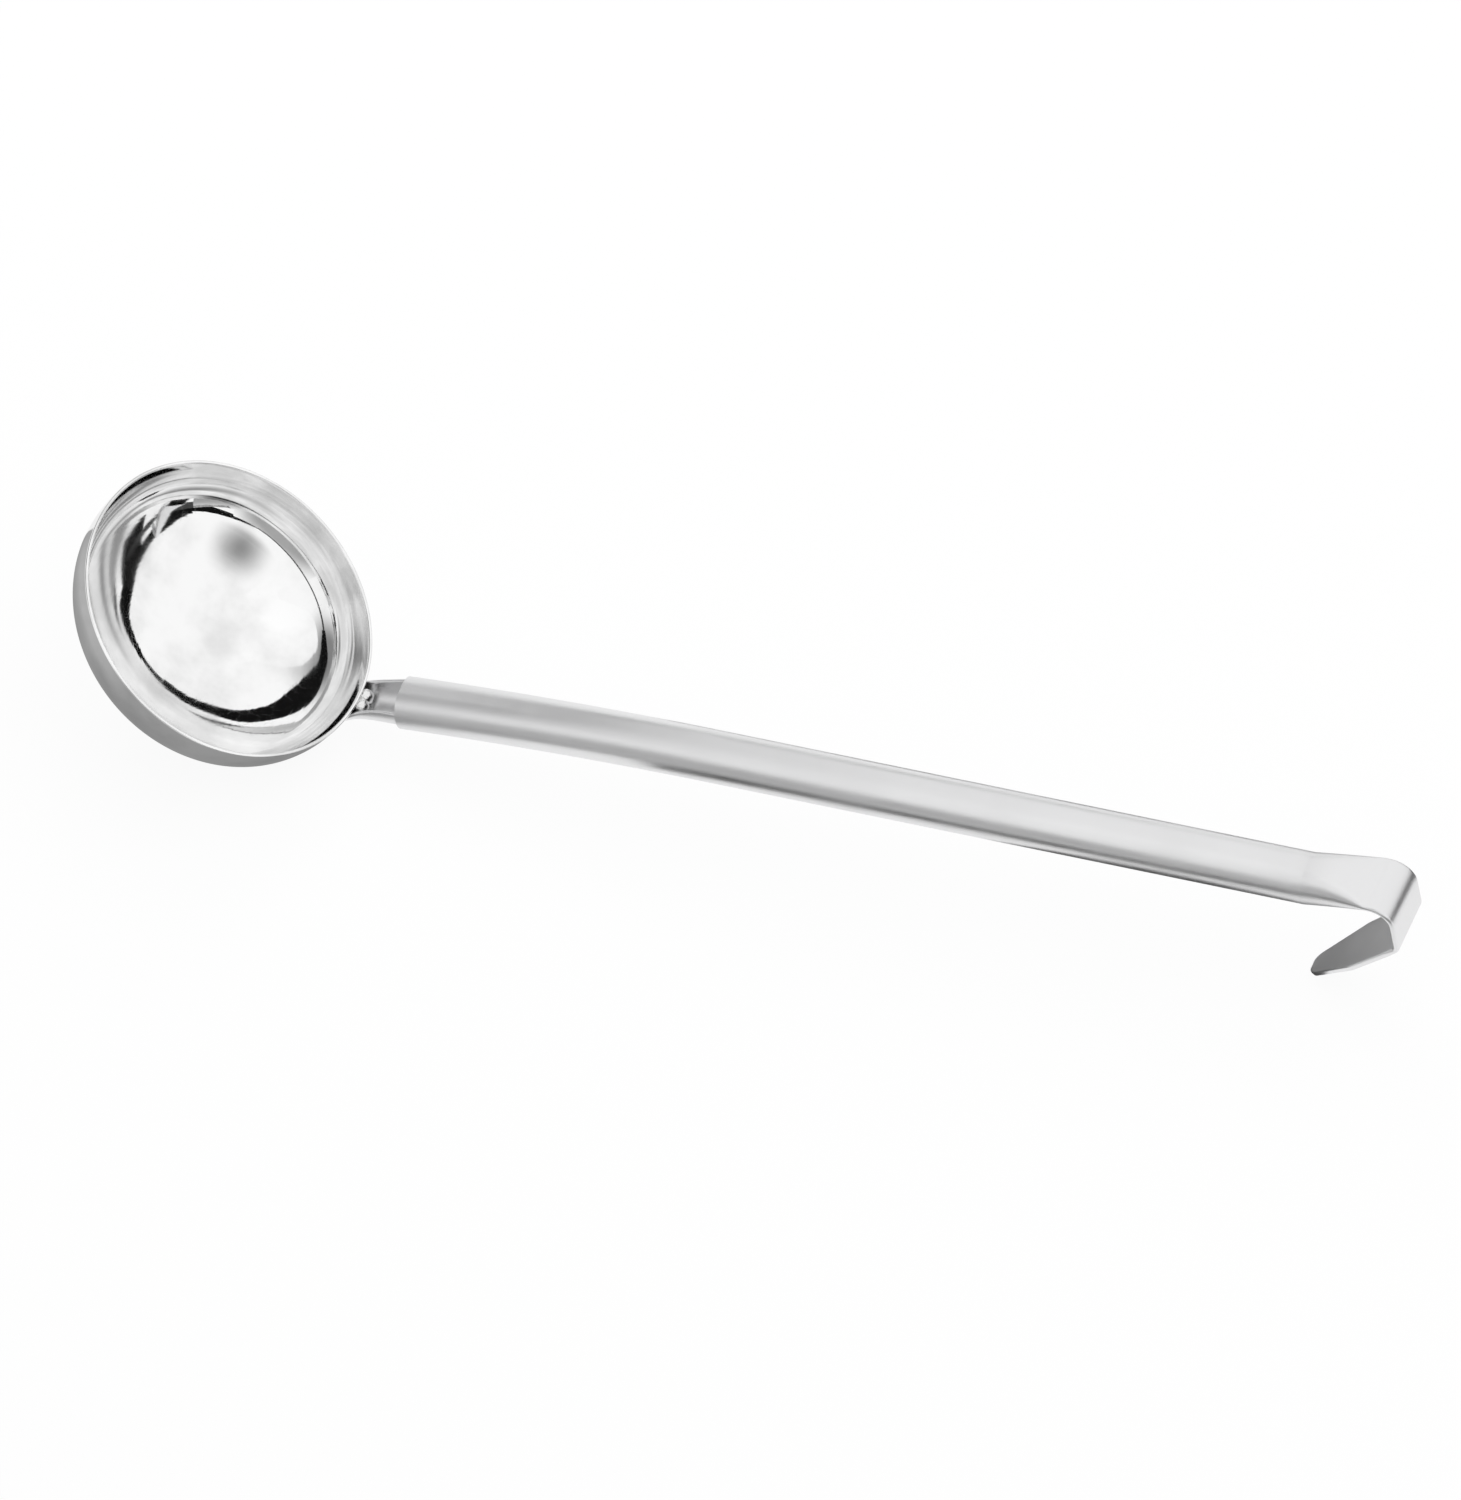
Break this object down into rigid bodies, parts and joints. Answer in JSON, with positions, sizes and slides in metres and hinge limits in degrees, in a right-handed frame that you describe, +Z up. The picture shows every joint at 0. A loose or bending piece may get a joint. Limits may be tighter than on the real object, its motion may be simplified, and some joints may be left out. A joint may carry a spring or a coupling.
{
  "type": "soup ladle",
  "caption": "Stainless steel soup ladle with a deep round mirror-finish bowl and a long hollow handle that ends in a flat hanging hook.",
  "frame": {"origin": "centre of the bounding box at its bottom, with the ladle lying upright on a flat floor: the bowl's underside and the lower edge of the hook's tip touch the floor", "axes": "+X along the handle, from the bowl to the hook; +Y across the ladle, square to its plane of symmetry; +Z up, square to the floor"},
  "size_m": [0.437, 0.1, 0.0675],
  "materials": {
    "polished_steel": "mirror polish",
    "satin_steel": "fine satin along the handle",
    "weld_bead": "as welded, bright and slightly rippled"
  },
  "bodies": {
    "root": {"bowl": "polished_steel", "handle": "satin_steel", "rim_weld": "weld_bead", "tongue_weld_left": "weld_bead", "tongue_weld_right": "weld_bead"}
  },
  "joints": []
}
